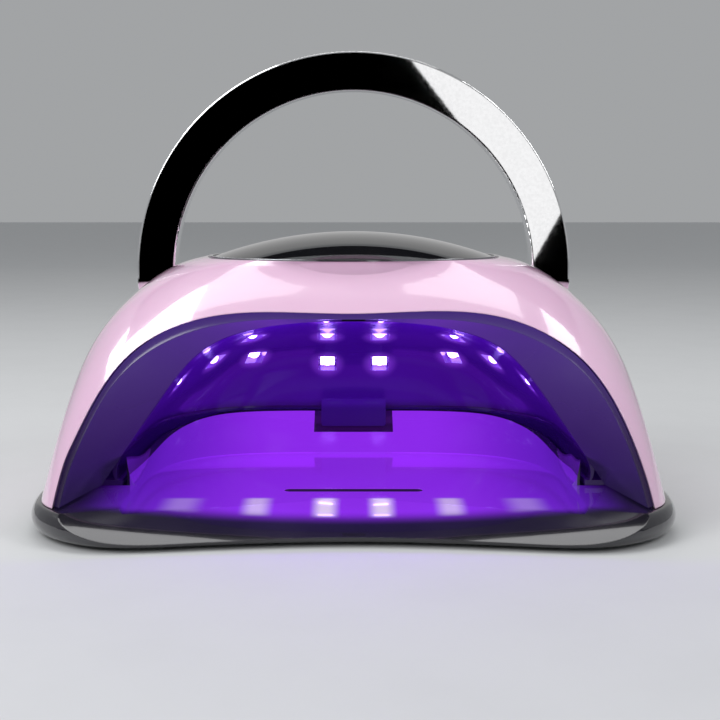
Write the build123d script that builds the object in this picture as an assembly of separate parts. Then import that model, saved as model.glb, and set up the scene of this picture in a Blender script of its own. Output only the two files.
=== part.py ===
"""UV LED nail lamp: a lift-off lamp head with a fold-down handle on a magnet-held base tray.

Origin: centre of the base on the table. +X right, +Y to the back of the lamp, +Z up. Millimetres.
"""
import os
from math import cos, pi, sin, sqrt

from build123d import *

os.makedirs("parts", exist_ok=True)

# ---- Base tray ----
FOOT_H = 1.5                # rubber feet stand proud of the base by this much
BASE_HALF_W = 122.8         # half width of the flange
BASE_FRONT = 98.0           # flange centre to its front corners
BASE_BACK = 113.5           # flange centre to its back edge
BASE_H = 10.0               # flange height
LIP_R = 4.0                 # rounding of the flange's edges
LIP_HOLLOW = 12.0           # how far the front edge curves back at the middle
LIP_HOLLOW_W = 98.0         # half width of that curve
PLAN_Y = -15.0              # Y of the widest line of base and head
FLOOR_T = 2.1               # hand rest floor thickness
FLOOR_SINK = 1.1            # floor below the flange's top
ROLL_Y = -70.0              # floor starts to roll down here
ROLL_R = 73.0               # roll's radius front to back
ROLL_SPAN_R = 900.0         # its upward sweep from the middle to the corners
POCKET_FRONT = -82.0        # hollow under the floor stops here
PLATE_T = 2.0               # bottom plate thickness
FLOOR_HALF_W = 84.0         # flat floor of the hand rest
FLOOR_BACK = 11.0
FLOOR_FRONT = -140.0        # floor runs out over the rolled front edge
TRAY_WALL = 2.4
GROOVE_W = 54.0             # finger groove in the hand rest
GROOVE_D = 1.4
GROOVE_L = 5.0
GROOVE_Y = -58.0

# ---- Lamp head ----
SEAT_GAP = 0.3              # head's bottom edge above the flange
HEAD_HALF_W = 114.0
HEAD_FLARE = 4.5            # extra half width at the bottom edge
HEAD_FRONT = 90.0           # from PLAN_Y forward at the bottom edge
HEAD_BACK = 110.0
HEAD_RISE = 97.7            # height of the full crown above the bottom edge
SHELL_T = 2.5
SEAT_Z = 99.1               # top edge of the display recess
LENS_A = 59.0               # display lens, half length along X
LENS_B = 42.0               # half length along Y
LENS_Y = -8.0
LENS_TOP = 109.5
LENS_T = 2.2
LENS_RX = 170.0             # crown radius across
LENS_RY = 84.0              # crown radius front to back
TRIM_W = 1.8
TRIM_GAP = 0.2
RIM_EDGE = 1.7              # pink edge left outside the trim ring
COLLAR_T = 1.2              # upright wall round the display recess
RECESS_D = 2.7
LEDGE_W = 4.0
PLATE_UNDER = 2.5           # shell plate under the display recess
SEAT_HOLLOW = (9.0, 3.0, 10.5)  # hollow below that plate, past the lens at sides, front and back

# ---- Hand opening: half arch as (x, height above the head's bottom edge) ----
RIM_HALF_W = 109.8
RIM_H = 68.6
RIM_SHOULDER = (101.5, 24.6)
RIM_CORNER = (86.4, 50.6)
RIM_CROWN = (63.5, 65.0)
RIM_LEAN = 0.2              # start slope of the arch
RIM_LOW_Y = -94.0           # funnel's wide edge follows the shell's slope
RIM_SLOPE = 0.36

# ---- Inner liner ----
LINER_HALF_W = 98.0
LINER_LEAN = 0.70           # side walls lean in by this much per millimetre of height
LINER_TOP = 77.3
LINER_T = 2.0
LINER_AXIS_Y = -110.0       # chamber plan is measured back from this line
LINER_DEPTH = 152.0
LINER_FRONT = -57.0         # liner meets the bezel here
SEAM_Z = 24.5               # top of the tray's wall
SKIRT_GAP = 0.5
SEAM_SLOT_D = 1.1           # shadow gap where the liner meets the tray's wall
SEAM_SLOT_H = 1.8
FLANGE_T = 2.0
TAB_W = 30.0
TAB_SIDE = 3.2              # dark gap left each side of the tab in the tray's wall
TAB_UNDER = 1.3
TAB_DROP = 6.6
TAB_RISE = 6.3
TAB_R = 1.2                 # rounding of the tab's corners
NOTCH_L = 20.0              # slot for the tab runs forwards through the tray's sloping wall
TAB_REACH = 7.5             # tab's middle in front of the liner's back wall
TAB_T = 2.4

# ---- Bezel and motion sensor ----
BEZEL_GAP = 0.3
BEZEL_EDGE = 1.6
SENSOR_Y = -60.6
SENSOR_W = 9.0
SENSOR_D = 4.6
SENSOR_T = 1.6

# ---- LEDs: (x, height) on the liner, mirrored left and right ----
LED_SPOTS = [(11.5, 71.7), (11.8, 61.4), (12.2, 47.0), (44.0, 62.5), (45.0, 51.3), (61.0, 51.7), (72.0, 47.5)]
LED_WINDOW = 8.5
LED_FRAME_W = 1.6
LED_STANDOFF = 3.4          # liner's inner face to the carrier board
LED_BOARD = (17.0, 12.5, 1.2)
LED_PACK = 6.4
LED_SCREW_R = 0.9
LED_SCREW_X = 7.1
WIRE_R = 0.8
SENSOR_WIRE_R = 0.6

# ---- Handle ----
HANDLE_RI = 76.0
HANDLE_RO = 92.0
HANDLE_T = 10.0
HANDLE_Z = 91.9             # centre of the arch
PIVOT_Z = 88.6
POCKET_GAP = 0.4
POCKET_BACK = 58.0
POCKET_WALL = 2.6
HANDLE_FOLD = 84.0          # folded back, from upright
SWING_Y = 48.0              # the folded handle runs inside the shoulder this far back
SWING_H = 60.0
PIN_R = 2.0
PIN_FIT = 0.05              # running clearance of the pin in its bush
PIN_INTO_FOOT = 9.0
BUSH_R = 3.2
BUSH_FLANGE_R = 4.1
WASHER_T = 1.0
NUT_AF = 7.0
NUT_T = 3.2
WASHER_R = 4.0
HANDLE_EDGE_R = 0.7

# ---- Magnets and fasteners ----
MAGNET_R = 5.0
MAGNET_T = 3.0
MAGNET_SPOTS = [(98.0, 37.0), (101.0, -35.0)]
MAGNET_COVER = 0.8
SCREW_R = 1.5
SCREW_HEAD_R = 2.8
SCREW_HEAD_T = 1.6
LINER_SCREW_TURNS = [12.0, 46.0, 76.0]   # degrees round from +X, mirrored
BOSS_R = 3.4
BOSS_H = 11.0
BASE_SCREW_SPOTS = [(60.0, 62.0), (106.0, 0.0)]
FOOT_R = 7.0
FOOT_SPOTS = [(88.0, -84.0), (80.0, 55.0)]

# ---- Electronics ----
BOARD = (80.0, 48.0, 1.6)
CARRIER_T = 2.0
CARRIER_GROW = 1.2          # carrier reaches past the lens by this much
LIGHT_BOX = (46.0, 24.0)
LIGHT_BOX_TOP = 101.0
LCD = (44.0, 22.0, 2.4)
LCD_Y = -14.0
KEY_Y = 9.0
KEY_PITCH = 17.0
KEY_COUNT = 4
JACK_Z = 32.0
JACK_R = 4.0
JACK_BORE_R = 2.9
JACK_PIN_R = 1.0
JACK_LEN = 14.0
JACK_HEX_T = 3.0
JACK_SINK = 0.8             # inlet flange sits in a shallow round recess
VENT_COUNT = 9
VENT_PITCH = 7.0
VENT_W = 2.6
VENT_H = 16.0
VENT_Z = 56.0

BASE_TOP = FOOT_H + BASE_H
HEAD_Z = BASE_TOP + SEAT_GAP
FLOOR_Z = BASE_TOP - FLOOR_SINK


def save(shape, name):
    """Write one named piece."""
    export_step(shape, f"parts/{name}.step")


def superellipse(angle, half_x, half_y, power):
    """Distance from the centre to a superellipse at one angle."""
    return (abs(cos(angle) / half_x) ** power + abs(sin(angle) / half_y) ** power) ** (-1 / power)


def closed_face(points):
    """Face inside a smooth closed curve."""
    return make_face(Spline(*points, periodic=True))


def plan_face(z, half_w, front, back, power_front, power_back, hollow=0.0, count=28):
    """Rounded plan outline, with its own depth and squareness in front and behind."""
    points = []
    for i in range(count):
        angle = 2 * pi * (i + 0.5) / count
        behind = sin(angle) >= 0
        depth = back if behind else front
        power = power_back if behind else power_front
        reach = superellipse(angle, half_w, depth, power)
        x = reach * cos(angle)
        y = PLAN_Y + reach * sin(angle)
        if not behind and abs(x) < LIP_HOLLOW_W:
            y += hollow * (1 - (x / LIP_HOLLOW_W) ** 2) ** 1.5
        points.append((x, y, z))
    return closed_face(points)


# ---------------------------------------------------------------- base tray

def base_outline(z, grow):
    """Flange outline at height z, grown or shrunk all round."""
    return plan_face(z, BASE_HALF_W + grow, BASE_FRONT + grow, BASE_BACK + grow, 5.0, 3.0, LIP_HOLLOW)


def base_solid(z_low, z_high, grow):
    """Straight-sided slab with the flange's outline."""
    return extrude(base_outline(z_low, grow), z_high - z_low)


def front_roll():
    """What is taken off above the front edge: it rolls down at the middle and fades out to the corners."""
    saddle = Rot(90, 0, 0) * Torus(ROLL_SPAN_R + ROLL_R, ROLL_R)
    above = Box(300, 80, 30, align=(Align.CENTER, Align.MAX, Align.CENTER))
    return Pos(0, ROLL_Y, FLOOR_Z) * (above - Pos(0, 0, ROLL_SPAN_R) * saddle)


def flange_body():
    """Flange with rounded top and bottom edges."""
    low = FOOT_H
    high = BASE_TOP
    steps = [(low, -LIP_R), (low + 0.25 * LIP_R, -0.34 * LIP_R), (low + LIP_R, 0.0)]
    steps += [(high - LIP_R, 0.0), (high - 0.25 * LIP_R, -0.34 * LIP_R), (high, -LIP_R)]
    return loft([base_outline(z, grow) for z, grow in steps])


def chamber_size(z):
    """Half width, depth and squareness of the lamp's chamber at height z."""
    rise = (z - HEAD_Z - 1.2) / (LINER_TOP - HEAD_Z - 1.2)
    rise = min(max(rise, 0.0), 0.999)
    half_w = (LINER_HALF_W - LINER_LEAN * (z - HEAD_Z - 1.2)) * sqrt(1 - rise ** 11.5)
    slope = min(max((z - SEAM_Z) / (LINER_TOP - SEAM_Z + 0.2), 0.0), 0.999)
    depth = LINER_DEPTH * (1 - slope ** 2.8) ** (1 / 2.8)
    power = 5.0 - 1.5 * max(z - SEAM_Z, 0.0) / 50.0
    return half_w, depth, power


def chamber_face(z, at_z, grow, count=17):
    """D-shaped chamber plan at height z, drawn at height at_z."""
    half_w, depth, power = chamber_size(z)
    half_w += grow
    depth += grow
    points = []
    for i in range(count):
        angle = pi * i / (count - 1)
        reach = superellipse(angle, half_w, depth, power)
        points.append((reach * cos(angle), LINER_AXIS_Y + reach * sin(angle), at_z))
    back = Spline(*points, tangents=[(0, 1, 0), (0, -1, 0)])
    return make_face([back, Line(points[-1], points[0])])


def tray_wall_outer(grow, z_low, z_high):
    """Upright body just inside the liner's skirt."""
    body = extrude(chamber_face(SEAM_Z, z_low, grow), z_high - z_low)
    keep = Box(400, 200, 200, align=(Align.CENTER, Align.MIN, Align.CENTER))
    return body & Pos(0, LINER_FRONT + 2.0, 0) * keep


def hand_rest_cavity():
    """Space over the hand rest: flat floor, rolled front and sloping walls."""
    def bowl(z, half_w, front, back, power):
        middle = (front + back) / 2
        half_d = (back - front) / 2
        count = 28
        points = []
        for i in range(count):
            angle = 2 * pi * (i + 0.5) / count
            reach = superellipse(angle, half_w, half_d, power)
            points.append((reach * cos(angle), middle + reach * sin(angle), z))
        return closed_face(points)

    seam_w, seam_d, seam_power = chamber_size(SEAM_Z)
    back_edge = LINER_AXIS_Y + seam_d - TRAY_WALL + 1.4
    rim_w = seam_w - TRAY_WALL + 1.4
    mid_z = (FLOOR_Z + 4.0 + SEAM_Z) / 2
    step_back = FLOOR_BACK + 11.5
    stations = [
        (FLOOR_Z, FLOOR_HALF_W, FLOOR_FRONT, FLOOR_BACK, 3.6),
        (FLOOR_Z + 1.3, FLOOR_HALF_W + 1.8, FLOOR_FRONT, FLOOR_BACK + 4.5, 3.7),
        (FLOOR_Z + 4.0, FLOOR_HALF_W + 3.4, FLOOR_FRONT, step_back, 4.0),
        (mid_z, (FLOOR_HALF_W + 3.4 + rim_w) / 2 + 0.3, FLOOR_FRONT, (step_back + back_edge) / 2 + 0.8, 4.3),
        (SEAM_Z + 0.1, rim_w, FLOOR_FRONT, back_edge, 4.6),
    ]
    return loft([bowl(*station) for station in stations])


def disc_at(x, y, z_low, radius, height):
    """Upright cylinder standing at z_low."""
    return Pos(x, y, z_low) * Cylinder(radius, height, align=(Align.CENTER, Align.CENTER, Align.MIN))


def four(spots):
    """Mirror spots left and right."""
    return [(side * x, y) for x, y in spots for side in (-1, 1)]


def screw_up(x, y, z_head, length, radius=SCREW_R, head_r=SCREW_HEAD_R, head_t=SCREW_HEAD_T):
    """Pan-head screw driven upwards: head below, shank above."""
    head = disc_at(x, y, z_head, head_r, head_t)
    slot = Pos(x, y, z_head) * (Box(0.5, head_r, 1.2) + Box(head_r, 0.5, 1.2))
    return head - slot + disc_at(x, y, z_head + head_t, radius, length)


def build_base():
    """Tray, bottom plate, feet, magnets and screws."""
    pocket_top = FLOOR_Z - FLOOR_T
    tray = flange_body() + tray_wall_outer(-1.0, BASE_TOP - 1.0, SEAM_Z)
    tray -= hand_rest_cavity()
    tray -= front_roll()
    tray -= base_solid(FOOT_H - 1.0, FOOT_H + PLATE_T + 0.1, -3.2)
    behind = Box(400, 300, 100, align=(Align.CENTER, Align.MIN, Align.CENTER))
    tray -= base_solid(FOOT_H + 1.0, pocket_top, -3.2) & Pos(0, POCKET_FRONT, 0) * behind
    groove = Box(GROOVE_W - GROOVE_L, GROOVE_L, 2 * GROOVE_D)
    for side in (-1, 1):
        groove += Pos(side * (GROOVE_W - GROOVE_L) / 2, 0, 0) * Cylinder(GROOVE_L / 2, 2 * GROOVE_D)
    tray -= Pos(0, GROOVE_Y, FLOOR_Z) * groove
    notch = Box(TAB_W + 2 * TAB_SIDE, NOTCH_L, 20, align=(Align.CENTER, Align.MAX, Align.MIN))
    tray -= Pos(0, tab_y() + TAB_T, SEAM_Z - TAB_DROP - TAB_UNDER) * notch
    plate_top = FOOT_H + PLATE_T
    bottom = base_solid(FOOT_H, plate_top, -3.5)
    screw_list = []
    for x, y in four(BASE_SCREW_SPOTS):
        tray += disc_at(x, y, plate_top + 0.1, 3.6, pocket_top - plate_top + 0.4)
        tray -= disc_at(x, y, FOOT_H, SCREW_R - 0.1, FLOOR_Z - FLOOR_T - FOOT_H + 0.4)
        bottom -= disc_at(x, y, FOOT_H - 0.1, SCREW_R + 0.2, PLATE_T + 0.2)
        bottom -= disc_at(x, y, FOOT_H - 0.1, SCREW_HEAD_R + 0.2, 1.1)
        screw_list.append(screw_up(x, y, FOOT_H + 0.1, 3.4, SCREW_R - 0.1, SCREW_HEAD_R, 0.9))
    magnet_z = BASE_TOP - MAGNET_COVER - MAGNET_T
    magnets = []
    for x, y in four(MAGNET_SPOTS):
        tray += disc_at(x, y, magnet_z - 1.0, MAGNET_R + 1.6, MAGNET_T + 1.2)
        tray -= disc_at(x, y, plate_top - 1.0, MAGNET_R + 0.05, magnet_z + MAGNET_T - plate_top + 1.05)
        magnets.append(disc_at(x, y, magnet_z, MAGNET_R, MAGNET_T))
    feet = []
    for x, y in four(FOOT_SPOTS):
        bottom -= disc_at(x, y, FOOT_H - 0.1, FOOT_R + 0.1, 0.9)
        foot = disc_at(x, y, 0, FOOT_R, FOOT_H + 0.8)
        feet.append(chamfer(foot.edges().group_by(Axis.Z)[0], 0.6))
    save(tray, "base_tray")
    save(bottom, "base_bottom_plate")
    save(Compound(children=screw_list), "base_screws")
    save(Compound(children=magnets), "base_magnets")
    save(Compound(children=feet), "rubber_feet")


# ---------------------------------------------------------------- lamp head shell

def head_size(z):
    """Half width, front and back depth and squareness of the head at height z."""
    rise = min(max((z - HEAD_Z) / HEAD_RISE, 0.0), 0.999)
    half_w = HEAD_HALF_W * (1 - rise ** 2.6) ** (1 / 2.6) + HEAD_FLARE * max(0.0, 1 - rise / 0.4) ** 2
    front = HEAD_FRONT * (1 - rise ** 1.6) ** (1 / 1.6)
    back = HEAD_BACK * (1 - rise ** 2.2) ** (1 / 2.2)
    return half_w, front, back, 6.0 - 3.2 * rise, 2.7 - 0.55 * rise


def head_face(z, at_z, inset):
    """Plan of the head at height z, drawn at at_z and shrunk by inset."""
    half_w, front, back, power_front, power_back = head_size(z)
    return plan_face(at_z, half_w - inset, front - inset, back - inset, power_front, power_back)


def seat_face(at_z, side, front, back):
    """Display recess outline as a head station, grown at the sides, front and back."""
    front_depth = PLAN_Y - (LENS_Y - LENS_B) + front
    back_depth = LENS_Y + LENS_B - PLAN_Y + back
    return plan_face(at_z, LENS_A + side, front_depth, back_depth, 2.0, 2.0)


def head_body(inset, extra_low=0.0):
    """Solid dome, shrunk by inset; its top is the display recess."""
    shares = [0.0, 0.09, 0.2, 0.36, 0.52, 0.66, 0.78]
    faces = []
    if extra_low > 0:
        faces.append(head_face(HEAD_Z, HEAD_Z - extra_low, inset))
    for share in shares:
        z = HEAD_Z + share * HEAD_RISE
        drop = share ** 2 * inset
        faces.append(head_face(z, z - drop, inset * (1 - 0.35 * share)))
    if inset > 0:
        faces.append(seat_face(SEAT_Z - RECESS_D - PLATE_UNDER, *SEAT_HOLLOW))
    else:
        seat_grow = TRIM_GAP + TRIM_W + RIM_EDGE
        faces.append(seat_face(SEAT_Z, seat_grow, seat_grow, seat_grow))
    return loft(faces)


def arch_face(inset):
    """Hand opening outline in the XZ plane."""
    def at(x, h):
        return ((x - inset) if x > 0 else (x + inset), HEAD_Z + h - inset)

    rows = [(RIM_HALF_W, -3.0 + inset), RIM_SHOULDER, RIM_CORNER, RIM_CROWN]
    right = [at(x, h) for x, h in rows]
    left = [(-x, z) for x, z in reversed(right)]
    crown = (0, HEAD_Z + RIM_H - inset)
    curve = Spline(*right, crown, *left, tangents=[(-RIM_LEAN, 1), (-RIM_LEAN, -1)])
    return Plane.XZ * make_face([curve, Line(left[-1], right[0])])


def leaning_arch(inset):
    """Hand opening outline on a plane that leans back with the shell's front."""
    rows = [(RIM_HALF_W, -3.0 + inset), RIM_SHOULDER, RIM_CORNER, RIM_CROWN]
    right = [(x - inset, HEAD_Z + h - inset) for x, h in rows]
    outline = right + [(0, HEAD_Z + RIM_H - inset)] + [(-x, z) for x, z in reversed(right)]
    points = [(x, RIM_LOW_Y + RIM_SLOPE * (z - HEAD_Z), z) for x, z in outline]
    start = (-RIM_LEAN, RIM_SLOPE, 1)
    curve = Spline(*points, tangents=[start, (-RIM_LEAN, -RIM_SLOPE, -1)])
    return make_face([curve, Line(points[-1], points[0])])


def arch_body(inset, y_front, y_back):
    """Hand opening as a straight tunnel."""
    return Pos(0, y_back, 0) * extrude(arch_face(inset), y_back - y_front)


def pocket_cut(side):
    """Room for a handle foot and its swing to the back."""
    x_in = HANDLE_RI - POCKET_GAP
    half = HANDLE_T / 2 + POCKET_GAP
    width = 40.0
    place = (Align.MIN, Align.MIN, Align.MIN)
    up = Pos(x_in, -half, PIVOT_Z) * Box(width, half + POCKET_BACK, 40, align=place)
    back = Pos(x_in, 0, PIVOT_Z - half) * Box(width, POCKET_BACK, half + 1, align=place)
    nose = Pos(x_in, 0, PIVOT_Z) * Rot(0, 90, 0) * Cylinder(half, width, align=(Align.CENTER, Align.CENTER, Align.MIN))
    shape = up + back + nose
    return shape if side > 0 else mirror(shape, Plane.YZ)


def pocket_box(side):
    """Walls round the handle pocket, before the pocket is cut out."""
    x_in = HANDLE_RI - POCKET_GAP - POCKET_WALL
    half = HANDLE_T / 2 + POCKET_GAP + POCKET_WALL
    place = (Align.MIN, Align.MIN, Align.MIN)
    shape = Pos(x_in, -half, PIVOT_Z - half) * Box(40, half + POCKET_BACK + POCKET_WALL, 60, align=place)
    return shape if side > 0 else mirror(shape, Plane.YZ)


def swing_ring(gap):
    """Ring over the folded handle, from just under the band upwards."""
    place = (Align.CENTER, Align.CENTER, Align.MIN)
    ring = Cylinder(HANDLE_RO + gap, SWING_H, align=place) - Cylinder(HANDLE_RI - gap, SWING_H, align=place)
    ring = Pos(0, HANDLE_Z - PIVOT_Z, -HANDLE_T / 2 - gap) * ring
    ring = ring & Box(300, SWING_Y, 200, align=(Align.CENTER, Align.MIN, Align.CENTER))
    return Pos(0, 0, PIVOT_Z) * Rot(90 - HANDLE_FOLD, 0, 0) * ring


def along_x(side, x_low, y, z, radius, length):
    """Cylinder lying along X, starting at x_low on the given side."""
    rod = Pos(x_low, y, z) * Rot(0, 90, 0) * Cylinder(radius, length, align=(Align.CENTER, Align.CENTER, Align.MIN))
    return rod if side > 0 else mirror(rod, Plane.YZ)


def lens_prism(a, b, z_low, z_high):
    """Elliptical prism over the display."""
    return Pos(0, LENS_Y, z_low) * extrude(Ellipse(a, b), z_high - z_low)


def crown_body(inset):
    """Doughnut whose outside is the lens's double-curved crown."""
    ring = Torus(LENS_RX - LENS_RY, LENS_RY - inset)
    return Pos(0, LENS_Y, LENS_TOP - LENS_RX) * Rot(90, 0, 0) * ring


def jack_y():
    """Back face of the head at the DC inlet."""
    return PLAN_Y + head_size(JACK_Z)[2]


def liner_screw_spots():
    """Screw places just inside the head's wall."""
    half_w, _, back, _, power = head_size(HEAD_Z + 2.0)
    inset = SHELL_T + BOSS_R - 1.2
    spots = []
    for turn in LINER_SCREW_TURNS:
        angle = turn * pi / 180
        reach = superellipse(angle, half_w - inset, back - inset, power)
        spots.append((reach * cos(angle), PLAN_Y + reach * sin(angle)))
    return four(spots)


def build_shell(outer):
    """Gloss shell with hand opening, display recess, handle pockets, vents and inlet hole."""
    inner = head_body(SHELL_T, 2.0)
    shell = outer - inner
    recess = LENS_A + TRIM_GAP + TRIM_W + TRIM_GAP
    recess_b = LENS_B + TRIM_GAP + TRIM_W + TRIM_GAP
    shell += lens_prism(recess + COLLAR_T, recess_b + COLLAR_T, SEAT_Z - RECESS_D - PLATE_UNDER, SEAT_Z)
    shell -= lens_prism(recess, recess_b, SEAT_Z - RECESS_D, SEAT_Z + 20)
    shell -= lens_prism(LENS_A - LEDGE_W, LENS_B - LEDGE_W, SEAT_Z - 20, SEAT_Z + 20)
    for side in (-1, 1):
        shell += (pocket_box(side) & outer) - lens_prism(recess, recess_b, 0, 200)
    shell += swing_ring(POCKET_GAP + POCKET_WALL) & outer
    shell -= swing_ring(POCKET_GAP + 0.2)
    for side in (-1, 1):
        shell -= pocket_cut(side)
        wall = HANDLE_RI - POCKET_GAP - POCKET_WALL
        shell -= along_x(side, wall - 1, 0, PIVOT_Z, BUSH_R, POCKET_WALL + 2)
    shell -= arch_body(0.0, -140, LINER_FRONT)
    for i in range(VENT_COUNT):
        x = (i - (VENT_COUNT - 1) / 2) * VENT_PITCH
        shell -= Pos(x, PLAN_Y + HEAD_BACK, VENT_Z) * Box(VENT_W, 90, VENT_H)
    bore = Pos(0, jack_y() + 20, JACK_Z) * Rot(90, 0, 0) * Cylinder(JACK_R + 0.1, 60)
    shell -= bore
    shell -= Pos(0, jack_y() - JACK_SINK, JACK_Z) * Rot(-90, 0, 0) * Cylinder(
        JACK_R + 2.2, 20, align=(Align.CENTER, Align.CENTER, Align.MIN))
    for x, y in liner_screw_spots():
        low = HEAD_Z + 0.3 + FLANGE_T + 0.2
        shell += disc_at(x, y, low, BOSS_R, BOSS_H) & outer
        shell -= disc_at(x, y, low - 1, SCREW_R - 0.1, BOSS_H - 1.0)
    for x, y in carrier_screws():
        shell -= disc_at(x, y, SEAT_Z - RECESS_D - PLATE_UNDER - 0.1, 0.9, PLATE_UNDER - 0.4)
    save(shell, "upper_shell")


# ---------------------------------------------------------------- bezel and liner

def build_bezel(outer):
    """Funnel between the shell's arched edge and the liner's front edge."""
    front_y = PLAN_Y - HEAD_FRONT - 2.0
    body = arch_body(BEZEL_GAP, front_y, LINER_FRONT - BEZEL_GAP)
    wide = leaning_arch(BEZEL_GAP + BEZEL_EDGE)
    throat = Pos(0, LINER_FRONT, 0) * chamber_mouth(0.0)
    body -= loft([wide, throat]) + extrude(wide, 60, dir=(0, -1, 0))
    body = body & (Pos(0, BEZEL_EDGE, -BEZEL_EDGE) * outer)
    body -= Pos(0, 0, HEAD_Z + 0.3) * Box(400, 400, 40, align=(Align.CENTER, Align.CENTER, Align.MAX))
    body -= Pos(0, SENSOR_Y, LINER_TOP) * Box(SENSOR_W + 0.2, SENSOR_D + 0.2, 20)
    save(body, "front_bezel")


def chamber_mouth(grow):
    """Liner's front profile in the XZ plane: leaning sides and a rounded flat top."""
    heights = [HEAD_Z - 3.0, 30.0, 50.0, 66.0, 73.0, 76.2]
    half_d = LINER_FRONT - LINER_AXIS_Y
    right = []
    for z in heights:
        half_w, depth, power = chamber_size(z)
        share = max(0.02, 1 - (half_d / depth) ** power)
        right.append((half_w * share ** (1 / power) + grow, z + (grow if z > 60 else 0)))
    left = [(-x, z) for x, z in reversed(right)]
    crown_z = right[-1][1] + 0.9
    curve = Spline(*right, (0, crown_z), *left)
    return Plane.XZ * make_face([curve, Line(left[-1], right[0])])


def chamber_body(grow, z_low):
    """Solid chamber, grown outwards, cut flat at the liner's front."""
    faces = []
    for z in (SEAM_Z, 36.0, 48.0, 58.0, 66.0, 71.0, 74.2, 76.3):
        lift = grow * max(0.0, (z - SEAM_Z) / (LINER_TOP - SEAM_Z)) ** 2
        faces.append(chamber_face(z, z + lift, grow))
    faces.insert(0, chamber_face(SEAM_Z, z_low, grow))
    body = loft(faces)
    keep = Box(400, 300, 300, align=(Align.CENTER, Align.MIN, Align.CENTER))
    return body & Pos(0, LINER_FRONT, 0) * keep


def liner_y(x, z):
    """Y of the liner's inner face behind the point x, z."""
    half_w, depth, power = chamber_size(z)
    share = max(0.0, 1 - (abs(x) / half_w) ** power)
    return LINER_AXIS_Y + depth * share ** (1 / power)


def liner_frame(x, z):
    """Plane on the liner's inner face: its Z points outwards, away from the hand."""
    step = 0.5
    y = liner_y(x, z)
    slope_x = (liner_y(x + step, z) - liner_y(x - step, z)) / (2 * step)
    slope_z = (liner_y(x, z + step) - liner_y(x, z - step)) / (2 * step)
    normal = Vector(-slope_x, 1.0, -slope_z).normalized()
    across = Vector(0, 0, 1).cross(normal).normalized()
    return Plane(origin=(x, y, z), x_dir=across, z_dir=normal)


def led_frames():
    """One plane for each LED, right side then left side of each pair."""
    return [liner_frame(side * x, z) for x, z in LED_SPOTS for side in (1, -1)]


def on_frame(frame, shape):
    """Move a shape drawn at the origin onto a plane."""
    return frame.location * shape


def tab_y():
    """Middle of the hanging tab's thickness."""
    return LINER_AXIS_Y + chamber_size(SEAM_Z)[1] - TAB_REACH


def build_liner(outer):
    """Reflective chamber with lamp windows, seat posts for the LED boards and a bottom flange."""
    skin = chamber_body(LINER_T, HEAD_Z + 0.3) - chamber_body(0.0, HEAD_Z - 2.0)
    post_x = LED_SCREW_X
    for frame in led_frames():
        size = LED_WINDOW + 2 * LED_FRAME_W
        low = (Align.CENTER, Align.CENTER, Align.MIN)
        frame_block = Pos(0, 0, 0.6) * Box(size, size, LED_STANDOFF - 0.8, align=low)
        skin += on_frame(frame, frame_block)
        for side in (-1, 1):
            post = Pos(side * post_x, 0, 0.8) * Cylinder(1.5, LED_STANDOFF - 0.8, align=low)
            skin += on_frame(frame, post)
    for frame in led_frames():
        skin -= on_frame(frame, Box(LED_WINDOW, LED_WINDOW, 40))
        for side in (-1, 1):
            hole = Pos(side * post_x, 0, LED_STANDOFF + 0.05) * Cylinder(0.75, 3.2)
            skin -= on_frame(frame, hole)
    skin -= extrude(chamber_face(SEAM_Z, SEAM_Z - 0.3, SEAM_SLOT_D), SEAM_SLOT_H)
    flange = extrude(head_face(HEAD_Z, HEAD_Z + 0.3, SHELL_T + 0.4), FLANGE_T)
    keep = Box(400, 300, 300, align=(Align.CENTER, Align.MIN, Align.CENTER))
    flange = flange & Pos(0, LINER_FRONT, 0) * keep
    flange -= extrude(chamber_face(SEAM_Z, HEAD_Z - 5, SKIRT_GAP), 10.0)
    for x, y in liner_screw_spots():
        flange -= disc_at(x, y, HEAD_Z, SCREW_R + 0.2, 4)
    for x, y in four(MAGNET_SPOTS):
        flange += disc_at(x, y, HEAD_Z + 0.3, MAGNET_R + 1.6, MAGNET_T + 0.8 + 1.2)
    for x, y in four(MAGNET_SPOTS):
        flange -= disc_at(x, y, HEAD_Z + 1.1, MAGNET_R + 0.05, MAGNET_T + 5)
    tab_h = TAB_DROP + TAB_RISE
    tab = Pos(0, TAB_T / 2, -tab_h / 2) * extrude(Plane.XZ * RectangleRounded(TAB_W, tab_h, TAB_R), TAB_T)
    root = Box(TAB_W - 2 * TAB_R, TAB_REACH + LINER_T / 2, TAB_RISE - TAB_R - SKIRT_GAP, align=(Align.CENTER, Align.MIN, Align.MAX))
    liner = skin + flange + Pos(0, tab_y(), SEAM_Z + TAB_RISE) * tab
    liner += Pos(0, tab_y(), SEAM_Z + TAB_RISE - TAB_R) * root
    save(liner, "inner_liner")


# ---------------------------------------------------------------- display

def carrier_screws():
    """Four screw places under the display recess's ledge."""
    reach_a = LENS_A - LEDGE_W / 2 + CARRIER_GROW
    reach_b = LENS_B - LEDGE_W / 2 + CARRIER_GROW
    spots = []
    for turn in (35, 145, 215, 325):
        angle = turn * pi / 180
        spots.append((reach_a * cos(angle), LENS_Y + reach_b * sin(angle)))
    return spots


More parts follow.
